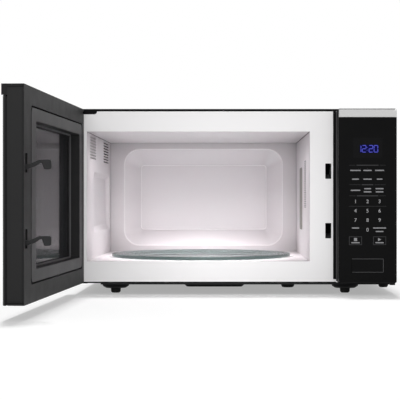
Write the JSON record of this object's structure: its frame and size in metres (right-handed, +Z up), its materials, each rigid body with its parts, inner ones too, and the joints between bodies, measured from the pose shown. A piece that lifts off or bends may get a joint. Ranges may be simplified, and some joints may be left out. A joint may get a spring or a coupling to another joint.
{
  "type": "countertop microwave oven",
  "caption": "Countertop microwave oven with a side-hinged glass door, push-button door release, sunk glass turntable and touch panel.",
  "frame": {"origin": "on the counter, under the middle of the cabinet's footprint", "axes": "+X to the right as seen by the user, +Y to the back, +Z up; metres"},
  "size_m": [0.5931, 0.9073, 0.3215],
  "materials": {
    "case_black": "satin",
    "hinge_black": "satin",
    "frame_white": "satin",
    "cavity_white": "satin",
    "mica_grey": "matte",
    "rubber_black": "matte",
    "zinc_steel": "bright",
    "door_grey": "satin",
    "panel_grey": "satin",
    "black_trim": "satin",
    "light_trim": "satin",
    "window_glass": "polished",
    "screen_black": "matte",
    "smoked_glass": "polished",
    "stainless": "brushed",
    "latch_grey": "satin",
    "panel_black": "satin",
    "fascia_black": "gloss",
    "display_dark": "gloss",
    "board_green": "satin",
    "tray_glass": "polished",
    "white_plastic": "satin",
    "switch_black": "matte",
    "fan_grey": "matte",
    "core_steel": "matte",
    "bright_alloy": "satin",
    "lamp_white": "satin"
  },
  "bodies": {
    "cabinet": {"outer_wrap": "case_black", "base_plate": "case_black", "rear_panel": "case_black", "upper_hinge_bracket": "hinge_black", "lower_hinge_bracket": "hinge_black", "hinge_screws": "hinge_black", "front_frame": "frame_white", "cavity_floor": "cavity_white", "cavity_ceiling": "cavity_white", "cavity_left_wall": "cavity_white", "cavity_right_wall": "cavity_white", "cavity_back_wall": "cavity_white", "waveguide_cover": "mica_grey", "feet": "rubber_black", "case_screws": "zinc_steel", "hinge_pins": "zinc_steel", "capacitor_strap": "zinc_steel", "waveguide": "zinc_steel", "button_spring": "zinc_steel", "cord_gland": "black_trim", "panel_band": "stainless", "panel_housing": "panel_black", "panel_fascia": "fascia_black", "display_module": "display_dark", "control_board": "board_green", "filter_board": "board_green", "interlock_switches": "switch_black", "latch_board": "switch_black", "fan_shroud": "switch_black", "air_duct": "switch_black", "fan_motor": "core_steel", "hv_transformer": "core_steel", "turntable_motor": "core_steel", "magnetron": "bright_alloy", "hv_capacitor": "bright_alloy", "cavity_lamp": "lamp_white", "thermal_cutouts": "lamp_white"},
    "door": {"choke_cover": "door_grey", "door_frame": "door_grey", "door_inner_panel": "panel_grey", "window_liner": "black_trim", "window_trim": "light_trim", "door_inner_glass": "window_glass", "door_screen": "screen_black", "glass_tape": "black_trim", "door_front_glass": "smoked_glass", "door_band": "stainless", "hinge_bushes": "white_plastic", "latch_spring": "zinc_steel"},
    "door_latch": {"latch_bar": "latch_grey"},
    "button": {"open_button": "fascia_black"},
    "release": {"release_bar": "switch_black"},
    "turntable": {"glass_tray": "tray_glass", "drive_coupler": "white_plastic", "motor_shaft": "zinc_steel"},
    "ring": {"roller_ring": "white_plastic"},
    "ring_roller_1": {"roller_1": "white_plastic"},
    "ring_roller_2": {"roller_2": "white_plastic"},
    "ring_roller_3": {"roller_3": "white_plastic"},
    "fan": {"fan_impeller": "fan_grey"}
  },
  "joints": [
    {"name": "door_swing", "type": "hinge", "parent": "cabinet", "child": "door", "pos_m": [-0.2695, -0.2335, 0.0205], "axis": [0, 0, 1], "range_deg": [-11.8, 93.2]},
    {"name": "button_press", "type": "slide", "parent": "cabinet", "child": "button", "axis": [0, 1, 0], "range_m": [0, 0.006], "stiffness_N_per_m": 400, "deforming": ["button_spring"]},
    {"name": "release_lift", "type": "slide", "parent": "cabinet", "child": "release", "axis": [0, 0, 1], "range_m": [0, 0.006]},
    {"name": "latch_lift", "type": "slide", "parent": "door", "child": "door_latch", "axis": [0, 0, 1], "range_m": [0, 0.006], "deforming": ["latch_spring"]},
    {"name": "turntable_spin", "type": "hinge", "parent": "cabinet", "child": "turntable", "pos_m": [-0.0635, -0.02, 0.0503], "axis": [0, 0, 1], "continuous": true},
    {"name": "ring_spin", "type": "hinge", "parent": "cabinet", "child": "ring", "pos_m": [-0.0635, -0.02, 0.04415], "axis": [0, 0, 1], "continuous": true},
    {"name": "fan_spin", "type": "hinge", "parent": "cabinet", "child": "fan", "pos_m": [0.20405, 0.193, 0.2425], "axis": [0, 1, 0], "continuous": true},
    {"name": "roller_1_spin", "type": "hinge", "parent": "ring", "child": "ring_roller_1", "pos_m": [0.03609, 0.0375, 0.04415], "axis": [0.866, 0.5, 0], "continuous": true},
    {"name": "roller_2_spin", "type": "hinge", "parent": "ring", "child": "ring_roller_2", "pos_m": [-0.16309, 0.0375, 0.04415], "axis": [-0.866, 0.5, 0], "continuous": true},
    {"name": "roller_3_spin", "type": "hinge", "parent": "ring", "child": "ring_roller_3", "pos_m": [-0.0635, -0.135, 0.04415], "axis": [0, -1, 0], "continuous": true}
  ],
  "couplings": [
    {"joint": "release_lift", "follows": "button_press", "ratio": 1},
    {"joint": "latch_lift", "follows": "button_press", "ratio": 1},
    {"joint": "ring_spin", "follows": "turntable_spin", "ratio": 0.5},
    {"joint": "roller_1_spin", "follows": "turntable_spin", "ratio": -9.8291},
    {"joint": "roller_2_spin", "follows": "turntable_spin", "ratio": -9.8291},
    {"joint": "roller_3_spin", "follows": "turntable_spin", "ratio": -9.8291}
  ]
}
